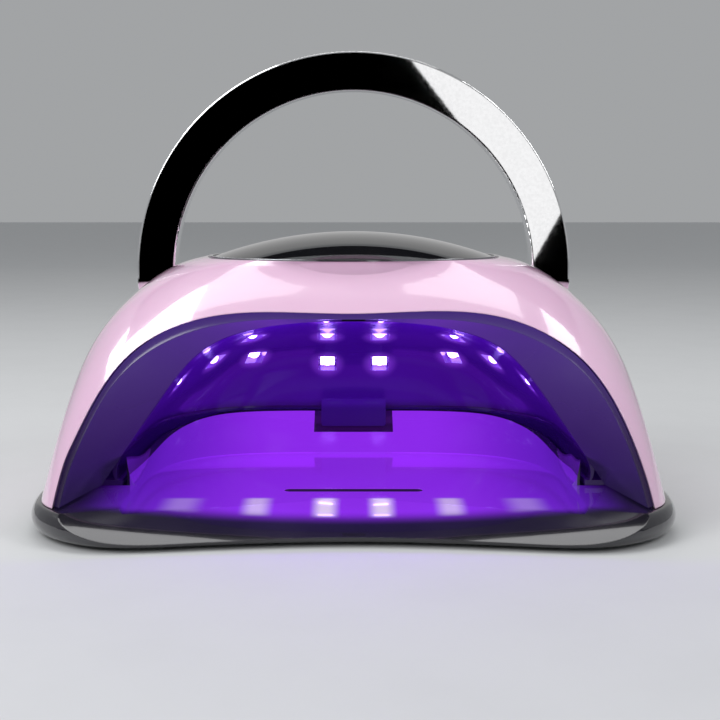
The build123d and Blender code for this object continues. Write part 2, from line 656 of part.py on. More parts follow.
def build_display():
    """Lens, trim ring, carrier, boards, light box, screen, key springs and buzzer."""
    low = SEAT_Z - RECESS_D + 0.1
    crown = crown_body(0.0) - crown_body(LENS_T)
    lens = lens_prism(LENS_A, LENS_B, low, LENS_TOP + 5) & crown
    save(lens, "display_lens")
    ring = lens_prism(LENS_A + TRIM_GAP + TRIM_W, LENS_B + TRIM_GAP + TRIM_W, low, SEAT_Z + 0.5)
    ring -= lens_prism(LENS_A + TRIM_GAP, LENS_B + TRIM_GAP, low - 1, SEAT_Z + 2)
    save(ring, "display_trim_ring")
    under = SEAT_Z - RECESS_D - PLATE_UNDER - 0.1
    carrier = lens_prism(LENS_A + CARRIER_GROW, LENS_B + CARRIER_GROW, under - CARRIER_T, under)
    board_z = under + 0.6
    carrier -= Pos(24, LENS_Y, under) * Box(14, 20, 10)
    mount = [(sx * (BOARD[0] / 2 - 4), LENS_Y + sy * (BOARD[1] / 2 - 4)) for sx in (-1, 1) for sy in (-1, 1)]
    for x, y in mount:
        carrier += disc_at(x, y, under, 2.5, 0.5)
        carrier -= disc_at(x, y, under - 5, 0.9, 10)
    screws = []
    for x, y in carrier_screws():
        carrier -= disc_at(x, y, under - 5, 1.1, 10)
        screws.append(screw_up(x, y, under - CARRIER_T - 1.2, CARRIER_T + 1.8, 0.9, 1.8, 1.1))
    save(carrier, "display_carrier")
    save(Compound(children=screws), "display_carrier_screws")
    board = Pos(0, LENS_Y, board_z) * Box(*BOARD, align=(Align.CENTER, Align.CENTER, Align.MIN))
    board -= Pos(24, LENS_Y, board_z) * Box(8, 12, 10)
    board_screws = []
    for x, y in mount:
        board -= disc_at(x, y, board_z - 1, 1.1, 5)
        head = disc_at(x, y, board_z + BOARD[2] + 0.05, 1.8, 1.0)
        board_screws.append(head + disc_at(x, y, board_z - 1.6, 0.85, BOARD[2] + 1.7))
    save(board, "control_board")
    save(Compound(children=board_screws), "control_board_screws")
    top = board_z + BOARD[2]
    base = (Align.CENTER, Align.CENTER, Align.MIN)
    parts = []
    for x, y, w, d, h in ((-32, -4, 9, 9, 1.6), (-30, -16, 5, 6, 2.2), (32, -20, 6, 4, 1.8), (34, -6, 5, 9, 2.0)):
        parts.append(Pos(x, y, top + 0.05) * Box(w, d, h, align=base))
    for x, y in ((29.0, -26.5), (-29.0, -25.5)):
        parts.append(disc_at(x, y, top + 0.05, 2.0, 3.4))
    save(Compound(children=parts), "control_board_parts")
    save(disc_at(33, 7.5, top + 0.05, 3.2, 3.0) - disc_at(33, 7.5, top + 2, 0.8, 3), "buzzer")
    box_h = LIGHT_BOX_TOP - top - 0.05
    box = Pos(0, LCD_Y, top + 0.05) * Box(LIGHT_BOX[0], LIGHT_BOX[1], box_h, align=base)
    box -= Pos(0, LCD_Y, top + 1.6) * Box(LCD[0] - 3, LCD[1] - 3, box_h, align=base)
    save(box, "display_light_box")
    save(Pos(0, LCD_Y, LIGHT_BOX_TOP + 0.05) * Box(*LCD, align=base), "display_screen")
    springs = []
    for i in range(KEY_COUNT):
        x = (i - (KEY_COUNT - 1) / 2) * KEY_PITCH
        drop = x * x / (2 * LENS_RX) + (KEY_Y - LENS_Y) ** 2 / (2 * LENS_RY)
        height = LENS_TOP - LENS_T - drop - top - 1.6
        springs.append(key_spring(x, KEY_Y, top + 0.35, height))
    save(Compound(children=springs), "touch_springs")


def key_spring(x, y, z, height):
    """Coil spring standing on the board under one touch key."""
    path = Helix(pitch=height / 4, height=height, radius=3.0)
    wire = sweep(Plane(origin=path @ 0, z_dir=path % 0) * Circle(0.3), path=path)
    return Pos(x, y, z) * wire


# ---------------------------------------------------------------- LEDs

def build_leds():
    """Carrier boards, LED packages with domes, screws and the wiring between them."""
    boards = []
    packs = []
    screws = []
    low = (Align.CENTER, Align.CENTER, Align.MIN)
    for frame in led_frames():
        board = Pos(0, 0, LED_STANDOFF + 0.1) * Box(*LED_BOARD, align=low)
        for side in (-1, 1):
            board -= Pos(side * LED_SCREW_X, 0, LED_STANDOFF) * Cylinder(LED_SCREW_R + 0.1, 9)
            head = Pos(side * LED_SCREW_X, 0, LED_STANDOFF + LED_BOARD[2] + 0.15) * Cylinder(1.3, 0.7, align=low)
            shank = Pos(side * LED_SCREW_X, 0, LED_STANDOFF - 1.2) * Cylinder(0.7, LED_BOARD[2] + 1.4, align=low)
            screws.append(on_frame(frame, head + shank))
        boards.append(on_frame(frame, board))
        pack = Pos(0, 0, LED_STANDOFF - 0.9) * Box(LED_PACK, LED_PACK, 0.95, align=low)
        dome = Pos(0, 0, LED_STANDOFF - 0.9) * Sphere(LED_PACK * 0.42)
        dome = dome & Pos(0, 0, LED_STANDOFF - 0.9) * Box(9, 9, 9, align=(Align.CENTER, Align.CENTER, Align.MAX))
        packs.append(on_frame(frame, pack + dome))
    save(Compound(children=boards), "led_boards")
    save(Compound(children=packs), "led_emitters")
    save(Compound(children=screws), "led_board_screws")
    wires = []
    for side in (-1, 1):
        chain = [liner_frame(side * x, z) for x, z in (LED_SPOTS[6], LED_SPOTS[5], LED_SPOTS[4], LED_SPOTS[3],
                                                       LED_SPOTS[1], LED_SPOTS[2])]
        for first, second in zip(chain, chain[1:]):
            wires.append(hop(first, second, 3.4, -3.4))
        wires.append(hop(liner_frame(side * LED_SPOTS[1][0], LED_SPOTS[1][1]),
                         liner_frame(side * LED_SPOTS[0][0], LED_SPOTS[0][1]), 0.0, 0.0))
    save(Compound(children=wires), "led_wiring")


def hop(first, second, shift_first, shift_second):
    """Wire that leaves one board's back, arches outwards and lands on the next."""
    off = LED_STANDOFF + LED_BOARD[2] + 0.15
    start = first.location * Pos(0, shift_first, off)
    end = second.location * Pos(0, shift_second, off)
    p = start.position
    q = end.position
    rise = 3.5 + 0.18 * (p - q).length
    a = p + first.z_dir * rise
    b = q + second.z_dir * rise
    path = Spline(p, (a + b) / 2 + (first.z_dir + second.z_dir) * 0.5, q,
                  tangents=[first.z_dir, -second.z_dir])
    return sweep(Plane(origin=p, z_dir=path % 0) * Circle(WIRE_R), path=path)


# ---------------------------------------------------------------- sensor and inlet

def build_sensor():
    """Motion sensor: window in the bezel's crown, board with its two eyes, and cable."""
    base = (Align.CENTER, Align.CENTER, Align.MIN)
    z = sensor_z()
    window = Pos(0, SENSOR_Y, z) * Box(SENSOR_W, SENSOR_D, SENSOR_T, align=base)
    save(window, "sensor_window")
    board = Pos(0, SENSOR_Y, z + SENSOR_T + 1.2) * Box(SENSOR_W - 0.6, SENSOR_D - 0.4, 1.0, align=base)
    save(board, "sensor_board")
    eyes = [disc_at(x, SENSOR_Y, z + SENSOR_T + 0.1, 1.4, 1.05) for x in (-2.2, 2.2)]
    save(Compound(children=eyes), "sensor_eyes")


def sensor_z():
    """Underside of the sensor window, flush with the funnel's crown."""
    return LINER_TOP - 0.2


def build_inlet():
    """Threaded barrel inlet, its nut and the feed cable to the control board."""
    y = jack_y() - JACK_SINK
    low = (Align.CENTER, Align.CENTER, Align.MIN)
    inward = Rot(90, 0, 0)
    jack = Pos(0, y, JACK_Z) * inward * Cylinder(JACK_R, JACK_LEN, align=low)
    jack += Pos(0, y + 1.0, JACK_Z) * inward * Cylinder(JACK_R + 2.0, 0.9, align=low)
    jack += Pos(0, y + 0.3, JACK_Z) * inward * Cylinder(JACK_R, 1.0, align=low)
    jack -= Pos(0, y + 2, JACK_Z) * inward * Cylinder(JACK_BORE_R, JACK_LEN, align=low)
    jack += Pos(0, y - 1.5, JACK_Z) * inward * Cylinder(JACK_PIN_R, JACK_LEN - 2.0, align=low)
    save(jack, "power_inlet")
    nut = Pos(0, y - SHELL_T - 0.3, JACK_Z) * inward * extrude(RegularPolygon(6.5, 6), JACK_HEX_T)
    nut -= Pos(0, y, JACK_Z) * inward * Cylinder(JACK_R + 0.05, 40)
    save(nut, "power_inlet_nut")


def cable(points, leave, land, radius):
    """Round cable through hand-chosen points."""
    path = Spline(*points, tangents=[leave, land])
    return sweep(Plane(origin=points[0], z_dir=path % 0) * Circle(radius), path=path)


def build_cables():
    """Cables from the inlet, the sensor and the first LED board to the control board."""
    board_low = SEAT_Z - RECESS_D - PLATE_UNDER + 0.35
    inlet_end = jack_y() - JACK_SINK - JACK_LEN - 0.15
    route = [(0, inlet_end, JACK_Z), (3, 68, 46), (9, 60, 64), (21, 40, 82), (24, 16, 86.5), (24, 0, board_low)]
    save(cable(route, (0, -1, 0), (0, 0, 1), 1.6), "power_cable")
    start = (3, SENSOR_Y + 1.2, sensor_z() + SENSOR_T + 2.35 + SENSOR_WIRE_R)
    route = [start, (7, -46, 84.2), (15, -28, 87.6), (25, -15.5, board_low)]
    save(cable(route, (0, 1, 0.2), (0, 0, 1), SENSOR_WIRE_R), "sensor_cable")
    first = liner_frame(*LED_SPOTS[0])
    start = (first.location * Pos(4.5, 0, LED_STANDOFF + LED_BOARD[2] + 0.15)).position
    end = Vector(20.5, -15, board_low)
    middle = (start + end) / 2 + Vector(0, 0, 0.5)
    save(cable([start, middle, end], first.z_dir, (0, 0, 1), WIRE_R), "led_feed_cable")


# ---------------------------------------------------------------- handle

def build_handle():
    """Arched flat band on two friction pivots."""
    mid = (HANDLE_RI + HANDLE_RO) / 2
    section = Pos(mid, 0, HANDLE_Z) * RectangleRounded(HANDLE_RO - HANDLE_RI, HANDLE_T, HANDLE_EDGE_R)
    band = revolve(section, Axis((0, 0, HANDLE_Z), (0, -1, 0)), 180)
    leg = extrude(section, PIVOT_Z - HANDLE_Z)
    for side in (-1, 1):
        band += leg if side > 0 else mirror(leg, Plane.YZ)
        foot = along_x(side, HANDLE_RI, 0, PIVOT_Z, HANDLE_T / 2, HANDLE_RO - HANDLE_RI)
        band += foot
    for side in (-1, 1):
        band -= along_x(side, HANDLE_RI - 1, 0, PIVOT_Z, PIN_R, PIN_INTO_FOOT + 1)
    save(band, "handle_band")
    wall_in = HANDLE_RI - POCKET_GAP - POCKET_WALL
    bush_in = wall_in - 2.0
    pins = []
    bushes = []
    washers = []
    nuts = []
    for side in (-1, 1):
        pin_in = bush_in - WASHER_T - NUT_T - 1.0
        pins.append(along_x(side, pin_in, 0, PIVOT_Z, PIN_R, HANDLE_RI + PIN_INTO_FOOT - pin_in))
        bush = along_x(side, wall_in - 0.05, 0, PIVOT_Z, BUSH_R, POCKET_WALL + 0.05)
        bush += along_x(side, bush_in, 0, PIVOT_Z, BUSH_FLANGE_R, 1.95)
        bushes.append(bush - along_x(side, bush_in - 1, 0, PIVOT_Z, PIN_R + PIN_FIT, 12))
        washer = along_x(side, bush_in - 0.1 - WASHER_T, 0, PIVOT_Z, WASHER_R, WASHER_T)
        washers.append(washer - along_x(side, bush_in - 5, 0, PIVOT_Z, PIN_R + 0.1, 12))
        nut = Pos(bush_in - 0.2 - WASHER_T - NUT_T, 0, PIVOT_Z) * Rot(0, 90, 0) * extrude(
            RegularPolygon(NUT_AF / 2, 6, major_radius=False), NUT_T)
        nut = nut if side > 0 else mirror(nut, Plane.YZ)
        nuts.append(nut - along_x(side, bush_in - 20, 0, PIVOT_Z, PIN_R, 40))
    save(Compound(children=pins), "handle_pivot_pins")
    save(Compound(children=bushes), "handle_pivot_bushes")
    save(Compound(children=washers), "handle_friction_washers")
    save(Compound(children=nuts), "handle_lock_nuts")


# ---------------------------------------------------------------- head fasteners and magnets

def build_head_fixings():
    """Magnets and screws at the head's bottom."""
    magnets = [disc_at(x, y, HEAD_Z + 1.15, MAGNET_R, MAGNET_T) for x, y in four(MAGNET_SPOTS)]
    save(Compound(children=magnets), "head_magnets")
    screws = []
    for x, y in liner_screw_spots():
        screws.append(disc_at(x, y, HEAD_Z + 0.4, SCREW_R - 0.1, 8.0))
    save(Compound(children=screws), "liner_screws")


build_base()
dome = head_body(0.0)
build_shell(dome)
build_bezel(dome)
build_liner(dome)
build_display()
build_leds()
build_sensor()
build_inlet()
build_handle()
build_head_fixings()
build_cables()
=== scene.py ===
"""UV LED nail lamp: materials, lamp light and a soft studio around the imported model."""
from math import radians

import bpy
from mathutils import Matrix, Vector

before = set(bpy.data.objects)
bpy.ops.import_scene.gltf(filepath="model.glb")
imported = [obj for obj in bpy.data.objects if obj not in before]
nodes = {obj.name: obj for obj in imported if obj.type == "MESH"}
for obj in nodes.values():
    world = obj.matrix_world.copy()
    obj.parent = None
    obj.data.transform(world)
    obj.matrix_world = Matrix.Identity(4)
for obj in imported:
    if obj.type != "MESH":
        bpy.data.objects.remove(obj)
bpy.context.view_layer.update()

# ---- Colours (linear) ----
PINK = (0.80, 0.52, 0.71, 1)
BLACK = (0.012, 0.011, 0.016, 1)
BLACK_SOFT = (0.020, 0.018, 0.026, 1)
# Liner's dark colour, with a violet tint painted in for the lamp's light.
LINER_WITH_PAINTED_VIOLET = (0.030, 0.010, 0.080, 1)
# Painted lamp light, shown as emission: violet glow on tray, liner and bezel, halo round the LEDs and near-white
# glare.
PAINTED_GLOW_VIOLET = (0.31, 0.026, 0.96, 1)
PAINTED_GLOW_VIOLET_SIDE = (0.10, 0.010, 0.50, 1)
PAINTED_GLOW_VIOLET_DEEP = (0.030, 0.001, 0.17, 1)
BEZEL_PAINTED_GLOW = (0.050, 0.022, 0.17, 1)
PAINTED_HALO_VIOLET = (0.30, 0.05, 0.85, 1)
PAINTED_GLARE_WHITE = (1.0, 0.85, 1.0, 1)
LED_WHITE = (0.86, 0.74, 1.0, 1)
LED_GLOW = (0.40, 0.24, 1.0, 1)
MIRROR = (0.92, 0.92, 0.93, 1)
STEEL = (0.56, 0.56, 0.57, 1)
BRASS = (0.72, 0.52, 0.25, 1)
BOARD_GREEN = (0.012, 0.11, 0.045, 1)
TRACK_GREEN = (0.03, 0.22, 0.09, 1)
LENS_BLACK = (0.008, 0.008, 0.010, 1)
LENS_SMOKE = (0.012, 0.012, 0.014, 1)
TRIM = (0.35, 0.35, 0.37, 1)
ALUMINIUM = (0.75, 0.75, 0.76, 1)
CARD_WHITE = (1, 1, 1, 1)
CARD_BLACK = (0, 0, 0, 1)
LAMP_VIOLET = (0.30, 0.03, 1.0)
WHITE_PLASTIC = (0.72, 0.72, 0.70, 1)
RUBBER = (0.018, 0.018, 0.018, 1)
WIRE_RED = (0.42, 0.015, 0.012, 1)
FLOOR_PALE = (0.62, 0.63, 0.64, 1)

# ---- Tray's wall in plan, which bounds the painted lamp glow: half width, depth and the line it is measured back from ----
TRAY_HALF_W = 0.0879
TRAY_DEPTH = 0.150
TRAY_AXIS_Y = 0.110

# ---- Places on the tray, in metres from the middle of the base ----
SLOT_HALF_W = 0.01825       # slot for the liner's tab
SLOT_FRONT = 0.0268
FLOOR_LEVEL = 0.0102        # just under the hand rest's floor
GROOVE_FRONT = -0.062
PAINTED_GLARE_STREAKS = ((0.0105, 0.0062, 0.85), (0.0360, 0.0070, 0.6), (0.0640, 0.0100, 0.25))  # painted LED glare streaks: place, reach, power
PAINTED_GLARE_LOW = (-0.0900, -0.0870)    # painted glare on the front roll fades in and out
PAINTED_GLARE_HIGH = (-0.0690, -0.0725)
PAINTED_SHADE_SHARE = 0.06           # share of the painted glow left in the slot and the groove: painted shade there
WALL_POWER = 5.0            # how square the wall's curve is in plan
FRONT_OPEN = -0.055         # nearer than this the floor has no wall beside it
PAINTED_GLOW_SIDE = (0.104, 0.080)  # painted lamp glow fades out between these, to the sides and to the front
PAINTED_GLOW_FRONT = (-0.094, -0.084)
PAINTED_GLOW_LEVEL = (0.0056, 0.0066)

# ---- Floor and reflection cards ----
CARD_FAR = -1.5             # dark card in front of the lamp
CARD_STEP = 0.02            # bright card stands this much nearer
CARD_HALF_W = 0.60
CARD_LOW = 0.003            # card just above the floor
FLOOR_HALF = 6.0
LIP_EDGE = ((0.10, -0.113), (0.06, -0.109))     # that card's back edge follows the tray's lip
LIP_MIDDLE = -0.106

# ---- Camera ----
CAMERA_AT = (0.0, -0.5007, 0.1225)
CAMERA_DROP = 7.83
LENS_MM = 58.15
SHIFT_X = 0.009


# ---------------------------------------------------------------- material helpers

class Paint:
    """A node material being built, with short ways to add nodes and links."""

    def __init__(self, name):
        self.material = bpy.data.materials.new(name)
        self.material.use_nodes = True
        self.tree = self.material.node_tree
        self.shader = self.tree.nodes["Principled BSDF"]

    def add(self, kind, **settings):
        node = self.tree.nodes.new(kind)
        for key, value in settings.items():
            setattr(node, key, value)
        return node

    def link(self, source, target):
        self.tree.links.new(source, target)

    def set(self, **values):
        for key, value in values.items():
            self.shader.inputs[key.replace("_", " ")].default_value = value

    def place(self):
        """Coordinates fixed to the object, in metres."""
        return self.add("ShaderNodeTexCoord").outputs["Object"]

    def noise(self, scale, detail=3.0, rough=0.55):
        node = self.add("ShaderNodeTexNoise")
        node.inputs["Scale"].default_value = scale
        node.inputs["Detail"].default_value = detail
        node.inputs["Roughness"].default_value = rough
        self.link(self.place(), node.inputs["Vector"])
        return node.outputs["Fac"]

    def ramp(self, source, low, high, low_at=0.35, high_at=0.65):
        node = self.add("ShaderNodeValToRGB")
        node.color_ramp.elements[0].position = low_at
        node.color_ramp.elements[1].position = high_at
        node.color_ramp.elements[0].color = low
        node.color_ramp.elements[1].color = high
        self.link(source, node.inputs["Fac"])
        return node.outputs["Color"]

    def span(self, source, from_low, from_high, to_low, to_high, smooth=False):
        node = self.add("ShaderNodeMapRange")
        if smooth:
            node.interpolation_type = "SMOOTHSTEP"
        limits = {"From Min": from_low, "From Max": from_high, "To Min": to_low, "To Max": to_high}
        for name, value in limits.items():
            node.inputs[name].default_value = value
        self.link(source, node.inputs["Value"])
        return node.outputs["Result"]

    def math(self, how, first, second):
        node = self.add("ShaderNodeMath", operation=how)
        for slot, value in enumerate((first, second)):
            if isinstance(value, (int, float)):
                node.inputs[slot].default_value = value
            else:
                self.link(value, node.inputs[slot])
        return node.outputs[0]

    def axes(self):
        node = self.add("ShaderNodeSeparateXYZ")
        self.link(self.place(), node.inputs[0])
        return node.outputs

    def bump(self, height, strength, distance, rounded=0.0):
        node = self.add("ShaderNodeBump")
        node.inputs["Strength"].default_value = strength
        node.inputs["Distance"].default_value = distance
        self.link(height, node.inputs["Height"])
        if rounded:
            bevel = self.add("ShaderNodeBevel", samples=6)
            bevel.inputs["Radius"].default_value = rounded
            self.link(bevel.outputs[0], node.inputs["Normal"])
        self.link(node.outputs[0], self.shader.inputs["Normal"])


def moulded(name, colour, deep, roughness, spread, peel, rounded, coat=0.0):
    """Moulded plastic: cloudy pigment, uneven gloss and a faint moulding ripple."""
    paint = Paint(name)
    paint.link(paint.ramp(paint.noise(22), deep, colour, 0.2, 0.55), paint.shader.inputs["Base Color"])
    gloss = paint.span(paint.noise(160, 5), 0.3, 0.7, roughness - spread, roughness + spread)
    paint.link(gloss, paint.shader.inputs["Roughness"])
    paint.set(Coat_Weight=coat, Coat_Roughness=0.03, IOR=1.49)
    paint.bump(paint.noise(90, 2), peel, 0.0004, rounded)
    return paint


def pink_gloss():
    """Pink injection-moulded shell with a clear glossy skin."""
    paint = moulded("pink_gloss", PINK, tuple(0.985 * c for c in PINK[:3]) + (1,), 0.16, 0.02, 0.02, 0.0007, 1.0)
    paint.set(Subsurface_Weight=0.08, Subsurface_Radius=(0.004, 0.002, 0.003))
    return paint.material


def black_gloss():
    """Gloss black shell plastic."""
    return moulded("black_gloss", BLACK, BLACK_SOFT, 0.14, 0.03, 0.03, 0.0006, 0.6).material


def black_satin():
    """Fine-grained black plastic."""
    return moulded("black_satin", BLACK_SOFT, BLACK, 0.34, 0.05, 0.1, 0.0005).material


def led_centres():
    """Middle of each LED, from the loose pieces of the CAD node."""
    mesh = nodes["led_emitters"].data
    matrix = nodes["led_emitters"].matrix_world
    owner = list(range(len(mesh.vertices)))

    def root(index):
        while owner[index] != index:
            owner[index] = owner[owner[index]]
            index = owner[index]
        return index

    spots = {}
    for vertex in mesh.vertices:
        key = tuple(round(value, 6) for value in vertex.co)
        owner[vertex.index] = spots.setdefault(key, vertex.index)
    for edge in mesh.edges:
        first, second = (root(index) for index in edge.vertices)
        owner[first] = second
    groups = {}
    for vertex in mesh.vertices:
        groups.setdefault(root(vertex.index), []).append(matrix @ vertex.co)
    return [sum(points, Vector()) / len(points) for points in groups.values()]


def near_leds(paint, reach):
    """1 at an LED's middle, falling to 0 at a distance of reach."""
    place = paint.place()
    nearest = None
    for centre in led_centres():
        node = paint.add("ShaderNodeVectorMath", operation="DISTANCE")
        paint.link(place, node.inputs[0])
        node.inputs[1].default_value = centre
        distance = node.outputs["Value"]
        nearest = distance if nearest is None else paint.math("MINIMUM", nearest, distance)
    return paint.span(nearest, reach, 0.002, 0.0, 1.0, True)


def painted_lamp_glow(paint, inside, bright, deep, strength, painted_glare=None):
    """Painted violet lamp light as emission on a surface, strongest near the middle and fading to the sides, mixed
    to near-white painted glare where given.
    """
    axes = paint.axes()
    side = paint.math("ABSOLUTE", axes[0], 0.0)
    painted_falloff = paint.span(side, 0.095, 0.03, 0.15, 1.0, True)
    mix = paint.add("ShaderNodeMix", data_type="RGBA")
    mix.inputs["A"].default_value = deep
    mix.inputs["B"].default_value = bright
    paint.link(painted_falloff, mix.inputs["Factor"])
    colour = mix.outputs["Result"]
    if painted_glare is not None:
        glare = paint.add("ShaderNodeMix", data_type="RGBA")
        glare.inputs["B"].default_value = PAINTED_GLARE_WHITE
        paint.link(painted_glare, glare.inputs["Factor"])
        paint.link(colour, glare.inputs["A"])
        colour = glare.outputs["Result"]
    paint.link(colour, paint.shader.inputs["Emission Color"])
    amount = paint.math("MULTIPLY", inside, strength)
    paint.link(amount, paint.shader.inputs["Emission Strength"])


def tray_painted_glow():
    """Gloss black tray with painted violet lamp light on its hand rest, painted shade in the slot and groove and
    painted LED glare on the front roll.
    """
    paint = moulded("tray_painted_glow", BLACK, BLACK_SOFT, 0.11, 0.02, 0.02, 0.0006, 0.8)
    # Painted lamp light: violet glow on the hand rest, kept inside the tray's wall and above the base.
    axes = paint.axes()
    side = paint.math("ABSOLUTE", axes[0], 0.0)
    within = paint.span(side, *PAINTED_GLOW_SIDE, 0.0, 1.0, True)
    behind = paint.span(axes[1], *PAINTED_GLOW_FRONT, 0.0, 1.0, True)
    above = paint.span(axes[2], *PAINTED_GLOW_LEVEL, 0.0, 1.0)
    wide = paint.math("POWER", paint.math("DIVIDE", side, TRAY_HALF_W), WALL_POWER)
    back = paint.math("DIVIDE", paint.math("ADD", axes[1], TRAY_AXIS_Y), TRAY_DEPTH)
    deep = paint.math("POWER", paint.math("MAXIMUM", back, 0.0), WALL_POWER)
    walled = paint.math("LESS_THAN", paint.math("ADD", wide, deep), 1.0)
    front = paint.math("LESS_THAN", axes[1], FRONT_OPEN)
    within = paint.math("MULTIPLY", within, paint.math("MAXIMUM", walled, front))
    inside = paint.math("MULTIPLY", paint.math("MULTIPLY", within, behind), above)
    # Painted shade: the glow drops to a small share in the tab slot and the finger groove.
    slot = paint.math("MULTIPLY", paint.math("LESS_THAN", side, SLOT_HALF_W),
                      paint.math("GREATER_THAN", axes[1], SLOT_FRONT))
    sunk = paint.math("LESS_THAN", axes[2], FLOOR_LEVEL)
    groove = paint.math("MULTIPLY", sunk, paint.math("GREATER_THAN", axes[1], GROOVE_FRONT))
    dark = paint.math("MAXIMUM", slot, groove)
    lit = paint.math("MULTIPLY", inside, paint.span(dark, 0.0, 1.0, 1.0, PAINTED_SHADE_SHARE))
    # Painted glare: near-white streaks standing in for LED reflections on the front roll.
    painted_glare = None
    for column, width, power in PAINTED_GLARE_STREAKS:
        off = paint.math("ABSOLUTE", paint.math("SUBTRACT", side, column), 0.0)
        streak = paint.math("MULTIPLY", paint.span(off, width, 0.001, 0.0, 1.0, True), power)
        painted_glare = streak if painted_glare is None else paint.math("MAXIMUM", painted_glare, streak)
    band = paint.math("MULTIPLY", paint.span(axes[1], *PAINTED_GLARE_LOW, 0.0, 1.0, True),
                      paint.span(axes[1], *PAINTED_GLARE_HIGH, 0.0, 1.0, True))
    painted_lamp_glow(paint, lit, PAINTED_GLOW_VIOLET, PAINTED_GLOW_VIOLET_SIDE, 0.85, paint.math("MULTIPLY", painted_glare, band))
    return paint.material


def liner_painted_glow():
    """Dark glossy liner tinted violet, with painted violet lamp light over it, a painted halo round every LED and
    painted shade along its bottom edge.
    """
    paint = moulded("liner_painted_glow", LINER_WITH_PAINTED_VIOLET, tuple(0.7 * c for c in LINER_WITH_PAINTED_VIOLET[:3]) + (1,), 0.2, 0.03, 0.03, 0.0003, 0.5)
    # Painted halo of LED light round every LED.
    painted_halo = near_leds(paint, 0.0095)
    mix = paint.add("ShaderNodeMix", data_type="RGBA")
    mix.inputs["A"].default_value = PAINTED_GLOW_VIOLET_DEEP
    mix.inputs["B"].default_value = PAINTED_HALO_VIOLET
    paint.link(painted_halo, mix.inputs["Factor"])
    paint.link(mix.outputs["Result"], paint.shader.inputs["Emission Color"])
    # Painted violet lamp light over the whole liner, slightly stronger low down, with painted shade below its
    # bottom edge.
    axes = paint.axes()
    low = paint.span(axes[2], 0.078, 0.040, 0.55, 0.60, True)
    painted_shade = paint.span(axes[2], 0.0255, 0.030, 0.12, 1.0, True)
    paint.link(paint.math("MULTIPLY", low, painted_shade), paint.shader.inputs["Emission Strength"])
    return paint.material


def bezel_painted_glow():
    """Black funnel with painted violet lamp light on its crown, fading lower down."""
    paint = moulded("bezel_painted_glow", BLACK_SOFT, BLACK, 0.24, 0.02, 0.02, 0.0005)
    # Painted violet lamp light, stronger towards the crown.
    axes = paint.axes()
    high = paint.span(axes[2], 0.020, 0.080, 0.18, 1.0, True)
    painted_lamp_glow(paint, high, BEZEL_PAINTED_GLOW, BEZEL_PAINTED_GLOW, 1.0)
    return paint.material


def lens_gloss():
    """Smoked display lens with a hard polished skin."""
    return moulded("lens_gloss", LENS_BLACK, LENS_SMOKE, 0.05, 0.01, 0.006, 0.0006, 1.0).material


def metal(name, colour, roughness, grain, stretch, rounded=0.0003):
    """Metal with a fine grain that runs one way."""
    paint = Paint(name)
    paint.set(Base_Color=colour, Metallic=1.0)
    mapping = paint.add("ShaderNodeMapping")
    mapping.inputs["Scale"].default_value = stretch
    paint.link(paint.place(), mapping.inputs["Vector"])
    noise = paint.add("ShaderNodeTexNoise")
    noise.inputs["Scale"].default_value = 900
    noise.inputs["Detail"].default_value = 4
    paint.link(mapping.outputs[0], noise.inputs["Vector"])
    paint.link(paint.ramp(noise.outputs["Fac"], tuple(0.93 * c for c in colour[:3]) + (1,), colour),
               paint.shader.inputs["Base Color"])
    gloss = paint.span(noise.outputs["Fac"], 0.3, 0.7, roughness * 0.75, roughness * 1.25)
    paint.link(gloss, paint.shader.inputs["Roughness"])
    paint.bump(noise.outputs["Fac"], grain, 0.0001, rounded)
    return paint.material


def circuit_board():
    """Solder-masked board with copper tracks showing through."""
    paint = Paint("circuit_board")
    brick = paint.add("ShaderNodeTexBrick", offset=0.37, squash=1.6)
    brick.inputs["Scale"].default_value = 260
    brick.inputs["Mortar Size"].default_value = 0.06
    brick.inputs["Color1"].default_value = BOARD_GREEN
    brick.inputs["Color2"].default_value = tuple(0.8 * c for c in BOARD_GREEN[:3]) + (1,)
    brick.inputs["Mortar"].default_value = TRACK_GREEN
    paint.link(paint.place(), brick.inputs["Vector"])
    paint.link(brick.outputs["Color"], paint.shader.inputs["Base Color"])
    paint.set(Roughness=0.35)
    paint.bump(brick.outputs["Fac"], 0.15, 0.0001)
    return paint.material


def led_light():
    """Lit LED: near-white with a violet edge."""
    paint = Paint("led_light")
    paint.link(paint.ramp(paint.noise(600), LED_GLOW, tuple(1.1 * c for c in LED_GLOW[:3]) + (1,)),
               paint.shader.inputs["Emission Color"])
    paint.set(Base_Color=LED_WHITE, Roughness=0.25, Emission_Strength=9.0)
    return paint.material


def ribbed_wire(name, colour):
    """Cable jacket with a faint moulded ripple."""
    return moulded(name, colour, tuple(0.85 * c for c in colour[:3]) + (1,), 0.42, 0.06, 0.12, 0.0).material


